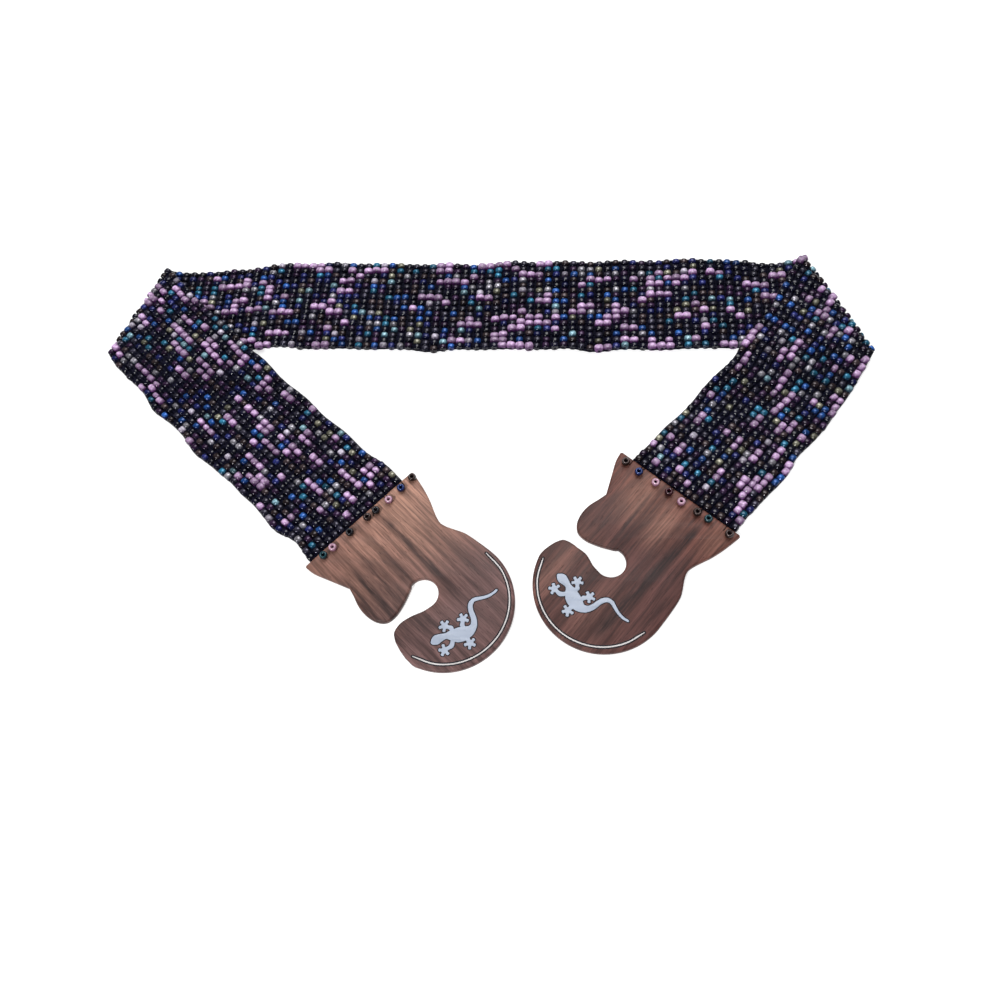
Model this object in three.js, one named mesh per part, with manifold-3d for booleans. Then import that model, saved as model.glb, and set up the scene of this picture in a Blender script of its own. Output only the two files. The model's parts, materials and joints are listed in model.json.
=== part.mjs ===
// Beaded belt: a loomed band of glass seed beads with a wooden hook plate at each end.
// It lies flat with both arms folded forward over the middle of the band.
// Millimetres, Z up. X runs along the middle of the band, Y points to the back.
import * as THREE from 'three';
import { mergeVertices } from 'three/addons/utils/BufferGeometryUtils.js';
import Module from 'manifold-3d';

const wasm = await Module();
wasm.setup();

// Band
const bandWidth = 51.6;
const beadDiameter = 3.6;
const bandThickness = beadDiameter;
const leftArmLength = 173.6;
const rightArmLength = 128.1;
const layerGap = 0.6;
const leftFoldAngle = 70;
const rightFoldAngle = 115.3;
const hookToHookGap = 7.6;
const settleRun = 30;
const sectionSpacing = 6.4;
const sectionsPerFold = 6;
const foldSkewReach = 60;
const facesAcross = 6;
const edgeRounding = 0.9;
const edgeWaveDepth = 0.5;
const edgeWaveLength = 29;
const edgeWaveShift = 2;

// Course of the band from the left plate to the right plate.
// along: share of the arm or middle length, sideways: share of the band width,
// width: share of the band width
const leftArmCourse = [
  { along: 0, sideways: -0.115, width: 1.02 },
  { along: 0.5, sideways: -0.13, width: 1.03 },
  { along: 0.85, sideways: -0.1, width: 1.01 },
];
const middleCourse = [
  { along: 0, sideways: -0.03, width: 0.96 },
  { along: 0.06, sideways: -0.04, width: 0.94 },
  { along: 0.24, sideways: 0.03, width: 0.99 },
  { along: 0.42, sideways: 0, width: 1 },
  { along: 0.66, sideways: 0.01, width: 0.99 },
  { along: 0.82, sideways: 0.022, width: 0.985 },
  { along: 0.92, sideways: -0.01, width: 0.94 },
  { along: 1, sideways: 0, width: 0.99 },
];
const rightArmCourse = [
  { along: 0.25, sideways: -0.11, width: 0.99 },
  { along: 0.5, sideways: -0.16, width: 1.01 },
  { along: 1, sideways: -0.12, width: 1.04 },
];

// Hook plates
const plateEdgeWidth = 62.6;
const plateThickness = 3.5;
const plateBevel = 0.5;
const hookRadius = 29;
const hookCentreRise = 9.6;
const hookArc = { from: 94, steps: 24 };
const notchArc = { from: 0, to: 188, steps: 10 };
const stepsPerKnot = 2;
const notchRadius = 6.5;
const notchDepth = 23.6;
const notchSide = -3.2;
const throatClearance = 0.3;
const bandToPlateGap = 0.3;
const holeDiameter = 1.3;
const holeSides = 6;
const cornerRounding = 0.6;

// Inlays
const inlayDepth = 0.9;
const inlayGap = 0.3;
const rimLineWidth = 0.9;
const rimLineInset = 2.6;
const rimLineSteps = 24;
const geckoLength = 34.4;
const geckoBodySteps = 20;
const geckoLegSteps = 2;
const footPocketSides = 12;

// Stop beads
const stopBeadDiameter = 3.6;
const stopBeadHeight = 2.4;
const stopBeadBore = 1.1;
const stopBeadSides = 9;
const stopBeadCorners = 6;
const seatGap = 0.3;

const plates = {
  left: {
    baseLength: 45.8,
    hookShift: 1,
    hookArcEnd: -71,
    tipShift: { back: -0.055, rise: 0 },
    turnFromArm: -2.9,
    sideShift: 0.7,
    rimLine: { from: 97, to: -74, across: 0.55, rise: 0 },
    gecko: { across: -3, rise: 21.8, turn: 0 },
    holes: [
      { across: 0.93, inset: 3.1, tint: 'brown' },
      { across: 0.71, inset: 3.4, tint: 'blue' },
      { across: 0.47, inset: 3.7, tint: 'pink' },
      { across: 0.235, inset: 3.4, tint: 'black' },
      { across: 0.085, inset: 3.1, tint: 'brown' },
      { across: -0.235, inset: 2.9, tint: 'black' },
      { across: -0.545, inset: 2.9, tint: 'pink' },
      { across: -0.71, inset: 2.8, tint: 'teal' },
    ],
  },
  right: {
    baseLength: 43.5,
    hookShift: 0,
    hookArcEnd: -78,
    tipShift: { back: 0.025, rise: 0.16 },
    turnFromArm: 1.1,
    sideShift: -1.8,
    rimLine: { from: 79, to: -75, across: -0.4, rise: 0.4 },
    gecko: { across: -4.4, rise: 19.9, turn: 10 },
    holes: [
      { across: 0.87, inset: 3.1, tint: 'brown' },
      { across: 0.535, inset: 3, tint: 'teal' },
      { across: 0.365, inset: 3.4, tint: 'brown' },
      { across: 0.11, inset: 3.7, tint: 'pink' },
      { across: -0.105, inset: 3.4, tint: 'garnet' },
      { across: -0.33, inset: 3.3, tint: 'pink' },
      { across: -0.605, inset: 3.8, tint: 'blue' },
      { across: -0.84, inset: 3.4, tint: 'brown' },
    ],
  },
};

// Plate outline between its straight edge and the hook.
// across: share of half the edge width, along: share of the base length
const outerFlank = [
  { across: 0.937, along: 0.219 },
  { across: 0.873, along: 0.362 },
  { across: 0.8, along: 0.482 },
  { across: 0.752, along: 0.603 },
  { across: 0.8, along: 0.712 },
  { across: 0.89, along: 0.85 },
];
const innerLobe = [
  { across: -0.787, along: 0.909 },
  { across: -0.832, along: 0.833 },
  { across: -0.848, along: 0.734 },
  { across: -0.832, along: 0.646 },
  { across: -0.794, along: 0.559 },
  { across: -0.762, along: 0.467 },
];
const innerFlank = [
  { across: -0.762, along: 0.467 },
  { across: -0.825, along: 0.362 },
  { across: -0.905, along: 0.23 },
  { across: -0.975, along: 0.11 },
  { across: -1, along: 0.022 },
];

// Hook tip and notch sides, measured from the middle of the round notch end.
// back: share of the notch depth towards the mouth, rise: share of the notch radius
const tipKnots = [
  { back: 0.985, rise: 1.14 },
  { back: 0.9, rise: 0.6 },
  { back: 0.775, rise: 0.43 },
];
const upperNotchSide = [
  { back: 0.415, rise: 0.57 },
  { back: 0.2, rise: 0.88 },
];
const lowerNotchSide = [
  { back: 0.08, rise: -0.86 },
  { back: 0.29, rise: -0.51 },
  { back: 0.5, rise: -0.26 },
];
const lowerLip = { back: 0.795, rise: -0.25 };
const throatMiddle = { back: 0.62, rise: 0.11 };

// Gecko figure in hundredths of its length. across: from head to tail, along: towards the
// hook end, half: half the width of the body or tail there
const geckoBody = [
  { across: -32.4, along: -9.9, half: 2.6 },
  { across: -26.4, along: -8.6, half: 6.4 },
  { across: -18, along: -5.4, half: 3.3 },
  { across: -11.5, along: -0.6, half: 6.4 },
  { across: -3.8, along: 6.1, half: 9.2 },
  { across: 4.5, along: 10.2, half: 8 },
  { across: 12, along: 11.4, half: 5.2 },
  { across: 17.8, along: 8.9, half: 3.9 },
  { across: 22.4, along: 2.8, half: 3.4 },
  { across: 25.5, along: -4.4, half: 3.1 },
  { across: 30.2, along: -10.8, half: 3 },
  { across: 36.5, along: -12.9, half: 2.6 },
  { across: 44, along: -9, half: 2.1 },
  { across: 52.5, along: -4, half: 1.8 },
  { across: 59.5, along: -2, half: 1.6 },
  { across: 65.5, along: -1.7, half: 1.4 },
];
const geckoLegs = [
  [
    { across: -8.4, along: 0.6, half: 3.6 },
    { across: -5.2, along: -7, half: 3 },
    { across: -9, along: -14.2, half: 2.8 },
  ],
  [
    { across: -11.6, along: 4.4, half: 3.6 },
    { across: -19.9, along: 9.2, half: 3 },
    { across: -28.8, along: 7.1, half: 2.8 },
  ],
  [
    { across: 4.2, along: 6.4, half: 3.6 },
    { across: 6.9, along: -0.4, half: 3 },
    { across: 12.3, along: -4.7, half: 2.8 },
  ],
  [
    { across: 2.6, along: 11.6, half: 3.6 },
    { across: -0.4, along: 16.8, half: 3 },
    { across: -1.7, along: 22.4, half: 2.8 },
  ],
];
const palmHalf = 4.6;
const palmSides = 7;
const toesPerFoot = 4;
const toeFan = 205;
const toeReach = 4.8;
const toeHalfWidth = 2.3;
const toeTipHalf = 2.7;

const tints = {
  brown: 0x4a2c22,
  blue: 0x2b4ea0,
  pink: 0xc58fb8,
  black: 0x16151a,
  teal: 0x1f7f88,
  garnet: 0x6d1f33,
};

function radians(degrees) {
  return THREE.MathUtils.degToRad(degrees);
}

function heading(degrees) {
  return new THREE.Vector2(Math.cos(radians(degrees)), Math.sin(radians(degrees)));
}

// Folds of the band
const foldRadius = (bandThickness + layerGap) / 2;
const foldArc = Math.PI * foldRadius;
const folds = {
  left: { angle: leftFoldAngle, outward: -1, armStart: 180, armLength: leftArmLength },
  right: { angle: rightFoldAngle, outward: 1, armStart: 0, armLength: rightArmLength },
};
for (const fold of Object.values(folds)) {
  fold.along = heading(fold.angle);
  fold.normal = new THREE.Vector2(fold.along.y, -fold.along.x).multiplyScalar(fold.outward);
  fold.armHeading = 2 * fold.angle - fold.armStart;
}

// Middle of a plate's hook as seen from the middle of its fold
function hookFromFold(plate, fold, endRow) {
  const armEnd = new THREE.Vector2(fold.outward * fold.armLength, bandWidth * endRow.sideways);
  armEnd.addScaledVector(fold.normal, foldArc - 2 * armEnd.dot(fold.normal));
  const hook = new THREE.Vector2(bandToPlateGap, plate.sideShift).add(hookCentre(plate));
  const turn = radians(fold.armHeading + plate.turnFromArm);
  return hook.rotateAround(new THREE.Vector2(), turn).add(armEnd);
}

// The folds lie as far apart as keeps the two hooks their gap apart
const leftHook = hookFromFold(plates.left, folds.left, leftArmCourse[0]);
const rightHook = hookFromFold(plates.right, folds.right, rightArmCourse[rightArmCourse.length - 1]);
const hookStep = rightHook.sub(leftHook);
const hookDistance = 2 * hookRadius + hookToHookGap;
const middleLength = Math.sqrt(hookDistance ** 2 - hookStep.y ** 2) - hookStep.x;

// Length along the band, from the left plate, of each fold and of the far end
const leftFoldAt = leftArmLength;
const rightFoldAt = leftArmLength + middleLength;
const bandLength = leftArmLength + middleLength + rightArmLength;
folds.left.at = leftFoldAt;
folds.right.at = rightFoldAt;
folds.left.centre = new THREE.Vector2(-middleLength / 2, 0);
folds.right.centre = new THREE.Vector2(middleLength / 2, 0);

// Smooth curves through the course tables
function courseRows() {
  const rows = [];
  for (const row of leftArmCourse) {
    rows.push({ ...row, at: row.along * leftArmLength });
  }
  for (const row of middleCourse) {
    rows.push({ ...row, at: leftFoldAt + row.along * middleLength });
  }
  for (const row of rightArmCourse) {
    rows.push({ ...row, at: rightFoldAt + row.along * rightArmLength });
  }
  return rows;
}

const course = courseRows();

function courseValue(at, column) {
  let i = 0;
  while (i < course.length - 2 && at > course[i + 1].at) {
    i += 1;
  }
  const share = THREE.MathUtils.clamp((at - course[i].at) / (course[i + 1].at - course[i].at), 0, 1);
  const eased = THREE.MathUtils.smoothstep(share, 0, 1);
  return THREE.MathUtils.lerp(course[i][column], course[i + 1][column], eased);
}

// Place on the unfolded band, x along it and y across it, of a point at a length and a share
// of the half width
function flatPoint(at, share) {
  const halfWidth = bandWidth * courseValue(at, 'width') / 2;
  const phase = share > 0 ? 0 : edgeWaveShift;
  const wave = edgeWaveDepth * Math.sin(2 * Math.PI * at / edgeWaveLength + phase);
  const y = bandWidth * courseValue(at, 'sideways') + share * (halfWidth + wave * share ** 2);
  return new THREE.Vector2(at - leftFoldAt - middleLength / 2, y);
}

// An arm lies on the middle of the band and sinks to the floor in front of it
function armLift(y) {
  const frontEdge = -bandWidth / 2;
  return 2 * foldRadius * THREE.MathUtils.smoothstep(y, frontEdge - settleRun, frontEdge);
}

// Rolls a flat point round the fold that it lies beyond
function layPoint(flat) {
  for (const fold of Object.values(folds)) {
    const beyond = flat.clone().sub(fold.centre).dot(fold.normal);
    if (beyond <= 0) {
      continue;
    }
    const foot = flat.clone().addScaledVector(fold.normal, -beyond);
    if (beyond < foldArc) {
      const turn = beyond / foldRadius;
      const place = foot.addScaledVector(fold.normal, foldRadius * Math.sin(turn));
      const up = fold.normal.clone().multiplyScalar(-Math.sin(turn));
      return {
        centre: new THREE.Vector3(place.x, place.y, foldRadius * (1 - Math.cos(turn))),
        up: new THREE.Vector3(up.x, up.y, Math.cos(turn)),
      };
    }
    const place = foot.addScaledVector(fold.normal, foldArc - beyond);
    return {
      centre: new THREE.Vector3(place.x, place.y, armLift(place.y)),
      up: new THREE.Vector3(0, 0, -1),
    };
  }
  return { centre: new THREE.Vector3(flat.x, flat.y, 0), up: new THREE.Vector3(0, 0, 1) };
}

// Sections of the band run parallel to a fold near it and to the plate edge at an end
function sectionSkew(at) {
  const skews = [
    { at: 0, skew: Math.tan(radians(plates.left.turnFromArm)) },
    { at: leftFoldAt, skew: folds.left.along.x / folds.left.along.y },
    { at: rightFoldAt, skew: folds.right.along.x / folds.right.along.y },
    { at: bandLength, skew: Math.tan(radians(plates.right.turnFromArm)) },
  ];
  let total = 0;
  for (const place of skews) {
    const away = Math.max(0, Math.abs(at - place.at) - 2 * foldArc);
    total += place.skew * (1 - THREE.MathUtils.smoothstep(away, 0, foldSkewReach));
  }
  return total;
}

function sectionPlaces() {
  const places = [0];
  const addRun = (end, steps) => {
    const start = places[places.length - 1];
    const count = steps ?? Math.round((end - start) / sectionSpacing);
    for (let i = 1; i <= count; i += 1) {
      places.push(THREE.MathUtils.lerp(start, end, i / count));
    }
  };
  for (const fold of Object.values(folds)) {
    const rollLength = foldArc / Math.abs(fold.normal.x);
    const rollStart = Math.min(fold.at, fold.at + fold.outward * rollLength);
    addRun(rollStart);
    addRun(rollStart + rollLength, sectionsPerFold);
  }
  addRun(bandLength);
  return places;
}

// Closed loop of one section as shares of half the width and half the thickness
function sectionLoop() {
  const flatShare = 1 - edgeRounding / (bandWidth / 2);
  const loop = [];
  for (let i = 0; i <= facesAcross; i += 1) {
    loop.push({ across: flatShare * (1 - 2 * i / facesAcross), up: 1 });
  }
  loop.push({ across: -1, up: 0 });
  for (let i = 0; i <= facesAcross; i += 1) {
    loop.push({ across: flatShare * (2 * i / facesAcross - 1), up: -1 });
  }
  loop.push({ across: 1, up: 0 });
  return loop;
}

function bandGeometry() {
  const loop = sectionLoop();
  const places = sectionPlaces();
  const positions = [];
  for (const at of places) {
    for (const corner of loop) {
      const across = corner.across * bandWidth / 2;
      const pointAt = at + across * sectionSkew(at);
      const laid = layPoint(flatPoint(pointAt, corner.across));
      const point = laid.centre.addScaledVector(laid.up, corner.up * bandThickness / 2);
      positions.push(point.x, point.y, point.z + bandThickness / 2);
    }
  }
  const size = loop.length;
  const index = [];
  for (let i = 0; i < places.length - 1; i += 1) {
    for (let j = 0; j < size; j += 1) {
      const next = (j + 1) % size;
      const a = i * size + j;
      const b = i * size + next;
      index.push(a, b, b + size, a, b + size, a + size);
    }
  }
  const last = (places.length - 1) * size;
  for (let j = 1; j < size - 1; j += 1) {
    index.push(0, j + 1, j);
    index.push(last, last + j, last + j + 1);
  }
  const geometry = new THREE.BufferGeometry();
  geometry.setAttribute('position', new THREE.Float32BufferAttribute(positions, 3));
  geometry.setIndex(index);
  geometry.computeVertexNormals();
  return geometry;
}

// Solids for joining and cutting
const weldDistance = 0.0001;

function toSolid(geometry) {
  const bare = geometry.clone();
  bare.deleteAttribute('normal');
  bare.deleteAttribute('uv');
  const merged = mergeVertices(bare, weldDistance);
  return new wasm.Manifold(new wasm.Mesh({
    numProp: 3,
    vertProperties: new Float32Array(merged.attributes.position.array),
    triVerts: new Uint32Array(merged.index.array),
  }));
}

function toGeometry(solid) {
  const mesh = solid.getMesh();
  const geometry = new THREE.BufferGeometry();
  geometry.setAttribute('position', new THREE.BufferAttribute(mesh.vertProperties, 3));
  geometry.setIndex(new THREE.BufferAttribute(mesh.triVerts, 1));
  geometry.computeVertexNormals();
  return geometry;
}

// Flat slab of an outline between two heights
function slab(points, bottom, top) {
  const geometry = new THREE.ExtrudeGeometry(new THREE.Shape(points), {
    depth: top - bottom,
    bevelEnabled: false,
  });
  geometry.translate(0, 0, bottom);
  return geometry;
}

// Points on a smooth curve through knots, without the last one
function throughKnots(knots) {
  const curve = new THREE.CatmullRomCurve3(
    knots.map((knot) => new THREE.Vector3(knot.x, knot.y, 0)), false, 'centripetal');
  const steps = stepsPerKnot * (knots.length - 1);
  const points = [];
  for (let i = 0; i < steps; i += 1) {
    const point = curve.getPoint(i / steps);
    points.push(new THREE.Vector2(point.x, point.y));
  }
  return points;
}

// Points on an arc whose ends are in degrees
function arcPoints(centre, radius, arc) {
  const points = [];
  for (let i = 0; i <= arc.steps; i += 1) {
    const turn = heading(THREE.MathUtils.lerp(arc.from, arc.to, i / arc.steps));
    points.push(centre.clone().addScaledVector(turn, radius));
  }
  return points;
}

// Arc through the corners of a closed ring
function wholeTurn(sides) {
  return { from: 0, to: 360 - 360 / sides, steps: sides - 1 };
}

// In a plate's own frame x runs from its straight edge to the hook end and y across it
function hookCentre(plate) {
  return new THREE.Vector2(plate.baseLength + hookCentreRise, plate.hookShift);
}

function plateOutline(plate) {
  const halfEdge = plateEdgeWidth / 2;
  const halfThroat = (plateThickness + throatClearance) / 2;
  const notch = new THREE.Vector2(plate.baseLength, notchSide);
  const base = (row) => new THREE.Vector2(row.along * plate.baseLength, row.across * halfEdge);
  const side = (row) => new THREE.Vector2(
    notch.x + row.rise * notchRadius, notch.y - row.back * notchDepth);
  const tipRise = plate.tipShift.rise * notchRadius;
  const tip = (row) => side(row).add(
    new THREE.Vector2(tipRise, -plate.tipShift.back * notchDepth));
  const throat = side(throatMiddle);
  const upperLip = new THREE.Vector2(throat.x + halfThroat + tipRise, throat.y);
  const throatFloor = new THREE.Vector2(throat.x - halfThroat, throat.y);
  const hookEdge = arcPoints(hookCentre(plate), hookRadius, { ...hookArc, to: plate.hookArcEnd });
  const notchEnd = arcPoints(notch, notchRadius, notchArc);
  const edgeEnd = new THREE.Vector2(cornerRounding, halfEdge);
  return [
    new THREE.Vector2(0, halfEdge - cornerRounding),
    ...throughKnots([edgeEnd, ...outerFlank.map(base), hookEdge[0]]),
    ...hookEdge,
    ...throughKnots([...tipKnots.map(tip), upperLip, ...upperNotchSide.map(side), notchEnd[0]]),
    ...notchEnd,
    ...throughKnots([...lowerNotchSide.map(side), throatFloor, side(lowerLip),
      ...innerLobe.map(base)]),
    ...throughKnots(innerFlank.map(base)),
    new THREE.Vector2(cornerRounding, -halfEdge),
    new THREE.Vector2(0, cornerRounding - halfEdge),
  ];
}

function holePlace(hole) {
  return new THREE.Vector2(hole.inset, hole.across * plateEdgeWidth / 2);
}

// Outline of a stroke along knots whose z is half its width there
function strokeOutline(knots, grow, steps) {
  const curve = new THREE.CatmullRomCurve3(knots, false, 'centripetal');
  const leftSide = [];
  const rightSide = [];
  for (let i = 0; i <= steps; i += 1) {
    const point = curve.getPoint(i / steps);
    const tangent = curve.getTangent(i / steps);
    const along = new THREE.Vector2(tangent.x, tangent.y).normalize();
    const left = new THREE.Vector2(-along.y, along.x);
    const centre = new THREE.Vector2(point.x, point.y);
    const half = point.z + grow;
    const endSign = i === 0 ? -1 : (i === steps ? 1 : 0);
    const reach = endSign === 0 ? half : half * Math.SQRT1_2;
    const middle = centre.clone().addScaledVector(along, endSign * reach);
    const tip = centre.clone().addScaledVector(along, endSign * half);
    if (endSign === -1) {
      rightSide.push(tip);
    }
    leftSide.push(middle.clone().addScaledVector(left, reach));
    rightSide.push(middle.clone().addScaledVector(left, -reach));
    if (endSign === 1) {
      rightSide.push(tip);
    }
  }
  return [...rightSide, ...leftSide.reverse()];
}

// Gecko of a plate: puts a row of its tables into the plate's own frame
function geckoKnot(plate, row) {
  const unit = geckoLength / 100;
  const spot = new THREE.Vector2(row.along, row.across).multiplyScalar(unit);
  spot.rotateAround(new THREE.Vector2(), radians(plate.gecko.turn));
  const rise = plate.baseLength + plate.gecko.rise;
  return new THREE.Vector3(rise + spot.x, plate.gecko.across + spot.y, row.half * unit);
}

// Body, legs and feet as strokes grown all round by a width
function geckoOutlines(plate, grow, foot) {
  const stroke = (rows, steps) => strokeOutline(
    rows.map((row) => geckoKnot(plate, row)), grow, steps);
  const outlines = [stroke(geckoBody, geckoBodySteps)];
  for (const leg of geckoLegs) {
    outlines.push(stroke(leg, geckoLegSteps), ...foot(plate, leg, grow));
  }
  return outlines;
}

// Round disc about the end of a leg
function footDisc(plate, leg, half, sides) {
  const foot = geckoKnot(plate, { ...leg[leg.length - 1], half });
  return arcPoints(new THREE.Vector2(foot.x, foot.y), foot.z, wholeTurn(sides));
}

// A foot is a round palm with short toes fanned about the way that the leg points
function footOutlines(plate, leg, grow) {
  const [knee, foot] = leg.slice(-2);
  const ahead = Math.atan2(foot.along - knee.along, foot.across - knee.across);
  const outlines = [footDisc(plate, leg, palmHalf, palmSides)];
  for (let i = 0; i < toesPerFoot; i += 1) {
    const turn = ahead + radians(toeFan * (i / (toesPerFoot - 1) - 0.5));
    const across = foot.across + toeReach * Math.cos(turn);
    const along = foot.along + toeReach * Math.sin(turn);
    const from = geckoKnot(plate, { ...foot, half: toeHalfWidth });
    const tip = geckoKnot(plate, { across, along, half: toeTipHalf });
    outlines.push(strokeOutline([from, tip], grow, 1));
  }
  return outlines;
}

// The pocket under a foot is one round recess
function footRecess(plate, leg, grow) {
  const half = toeReach + toeTipHalf + 100 * grow / geckoLength;
  return [footDisc(plate, leg, half, footPocketSides)];
}

// Thin line inside the round edge of the hook
function rimLineOutlines(plate, grow) {
  const half = rimLineWidth / 2;
  const radius = hookRadius - rimLineInset;
  const centre = hookCentre(plate).add(new THREE.Vector2(plate.rimLine.rise, plate.rimLine.across));
  const route = arcPoints(centre, radius, { ...plate.rimLine, steps: rimLineSteps / 3 });
  const knots = route.map((point) => new THREE.Vector3(point.x, point.y, half));
  return [strokeOutline(knots, grow, rimLineSteps)];
}

function joinedSlabs(outlines, bottom, top) {
  let solid = toSolid(slab(outlines[0], bottom, top));
  for (const outline of outlines.slice(1)) {
    solid = solid.add(toSolid(slab(outline, bottom, top)));
  }
  return solid;
}

function plateGeometry(plate) {
  const shape = new THREE.Shape(plateOutline(plate));
  for (const hole of plate.holes) {
    const rim = arcPoints(holePlace(hole), holeDiameter / 2, wholeTurn(holeSides));
    shape.holes.push(new THREE.Path(rim));
  }
  const body = new THREE.ExtrudeGeometry(shape, {
    depth: plateThickness - 2 * plateBevel,
    bevelThickness: plateBevel,
    bevelSize: plateBevel,
    bevelOffset: -plateBevel,
    bevelSegments: 1,
  });
  body.translate(0, 0, plateBevel);
  const floor = plateThickness - inlayDepth;
  const above = plateThickness + inlayDepth;
  const pockets = [
    ...geckoOutlines(plate, inlayGap, footRecess),
    ...rimLineOutlines(plate, inlayGap),
  ];
  return toGeometry(toSolid(body).subtract(joinedSlabs(pockets, floor, above)));
}

function inlayGeometry(outlines) {
  const floor = plateThickness - inlayDepth + inlayGap;
  return toGeometry(joinedSlabs(outlines, floor, plateThickness));
}

// Ring of glass with a round section, its bore upright
function stopBeadGeometry() {
  const wall = (stopBeadDiameter - stopBeadBore) / 4;
  const middle = stopBeadBore / 2 + wall;
  const profile = [];
  for (let i = 0; i <= stopBeadCorners; i += 1) {
    const turn = heading(360 * (i % stopBeadCorners + 0.5) / stopBeadCorners);
    profile.push(new THREE.Vector2(
      middle + wall * turn.x / Math.cos(Math.PI / stopBeadCorners),
      stopBeadHeight / 2 * (1 + turn.y / Math.cos(Math.PI / stopBeadCorners))));
  }
  const ring = new THREE.LatheGeometry(profile, stopBeadSides);
  ring.rotateX(Math.PI / 2);
  return ring;
}

function finish(color, roughness) {
  return new THREE.MeshStandardMaterial({ color, roughness, metalness: 0 });
}

function addMesh(parent, name, geometry, material) {
  const mesh = new THREE.Mesh(geometry, material);
  mesh.name = name;
  parent.add(mesh);
  return mesh;
}

// A plate with its inlays and stop beads, set against the end of its arm
function plateGroup(sideName, plate, fold, armEndAt) {
  const group = new THREE.Group();
  addMesh(group, `buckle_${sideName}`, plateGeometry(plate), finish(0x6b4636, 0.45));
  addMesh(group, `gecko_${sideName}`, inlayGeometry(geckoOutlines(plate, 0, footOutlines)),
    finish(0xb9c4cc, 0.3));
  addMesh(group, `rim_line_${sideName}`, inlayGeometry(rimLineOutlines(plate, 0)),
    finish(0xd8d8d2, 0.3));
  plate.holes.forEach((hole, i) => {
    const bead = addMesh(group, `stop_bead_${sideName}_${i + 1}`, stopBeadGeometry(),
      finish(tints[hole.tint], 0.15));
    const place = holePlace(hole);
    bead.position.set(place.x, place.y, plateThickness + seatGap);
  });
  const turn = radians(fold.armHeading + plate.turnFromArm);
  const armEnd = layPoint(flatPoint(armEndAt, 0)).centre;
  const offset = new THREE.Vector2(bandToPlateGap, plate.sideShift);
  offset.rotateAround(new THREE.Vector2(), turn);
  group.position.set(armEnd.x + offset.x, armEnd.y + offset.y, 0);
  group.rotation.z = turn;
  return group;
}

const belt = new THREE.Group();
addMesh(belt, 'beaded_band', bandGeometry(), finish(0x2a2638, 0.3));
belt.add(plateGroup('left', plates.left, folds.left, 0));
belt.add(plateGroup('right', plates.right, folds.right, bandLength));

// The origin is the middle of the bottom of the whole belt
belt.updateMatrixWorld(true);
const box = new THREE.Box3().setFromObject(belt, true);
belt.position.set(-(box.min.x + box.max.x) / 2, -(box.min.y + box.max.y) / 2, -box.min.z);

export default belt;
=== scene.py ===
import json
import math

import bmesh
import bpy
import numpy as np
from mathutils import Matrix, Vector


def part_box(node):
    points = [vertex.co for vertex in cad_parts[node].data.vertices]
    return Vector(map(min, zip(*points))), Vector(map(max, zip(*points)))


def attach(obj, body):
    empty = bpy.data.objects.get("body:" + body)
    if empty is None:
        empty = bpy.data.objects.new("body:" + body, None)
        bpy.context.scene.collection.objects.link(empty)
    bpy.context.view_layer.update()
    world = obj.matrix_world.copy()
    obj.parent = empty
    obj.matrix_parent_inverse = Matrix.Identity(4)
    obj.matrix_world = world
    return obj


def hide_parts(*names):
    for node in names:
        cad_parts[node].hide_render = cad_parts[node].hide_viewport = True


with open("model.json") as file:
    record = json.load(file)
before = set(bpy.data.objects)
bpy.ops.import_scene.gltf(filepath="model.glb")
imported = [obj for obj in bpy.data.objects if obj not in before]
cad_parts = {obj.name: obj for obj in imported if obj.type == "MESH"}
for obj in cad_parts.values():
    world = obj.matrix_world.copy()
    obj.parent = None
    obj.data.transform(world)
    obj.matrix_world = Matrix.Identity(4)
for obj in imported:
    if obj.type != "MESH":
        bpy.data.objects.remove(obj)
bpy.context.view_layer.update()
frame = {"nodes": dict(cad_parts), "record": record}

mm = 0.001
scene = bpy.context.scene

# camera over the front of the belt, turned a little, as in the photo
cameraSetup = {
    "place": (49.158, -159.895, 316.0),  # mm
    "right": (0.9953, 0.0509, -0.0829),
    "up": (-0.0146, 0.9207, 0.3900),
    "focalShare": 0.78,  # focal length over the picture's width
}


def addCamera():
    right = Vector(cameraSetup["right"]).normalized()
    back = right.cross(Vector(cameraSetup["up"])).normalized()
    up = back.cross(right)
    data = bpy.data.cameras.new("beltCamera")
    data.sensor_width = 36
    data.lens = 36 * cameraSetup["focalShare"]
    data.clip_start = 0.01
    camera = bpy.data.objects.new("beltCamera", data)
    turn = Matrix((right, up, back)).transposed().to_4x4()
    camera.matrix_world = Matrix.Translation(Vector(cameraSetup["place"]) * mm) @ turn
    scene.collection.objects.link(camera)
    scene.camera = camera


addCamera()
print("camera placed")


# small helpers for node trees
def addNode(tree, kind, **settings):
    node = tree.nodes.new(kind)
    for name, value in settings.items():
        setattr(node, name, value)
    return node


def feed(tree, socket, source):
    if isinstance(source, bpy.types.NodeSocket):
        tree.links.new(source, socket)
    else:
        socket.default_value = source


def doMath(tree, operation, *sources, clamp=False):
    node = addNode(tree, "ShaderNodeMath", operation=operation, use_clamp=clamp)
    for socket, source in zip(node.inputs, sources):
        feed(tree, socket, source)
    return node.outputs[0]


def mixColours(tree, share, first, second, blend="MIX"):
    node = addNode(tree, "ShaderNodeMix", data_type="RGBA", blend_type=blend)
    feed(tree, node.inputs[0], share)
    feed(tree, node.inputs[6], first)
    feed(tree, node.inputs[7], second)
    return node.outputs[2]


def rampColours(tree, source, stops):
    node = addNode(tree, "ShaderNodeValToRGB")
    ramp = node.color_ramp
    while len(ramp.elements) < len(stops):
        ramp.elements.new(0.5)
    for element, (place, colour) in zip(ramp.elements, stops):
        element.position = place
        element.color = (*colour, 1)
    feed(tree, node.inputs[0], source)
    return node.outputs[0]


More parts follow.
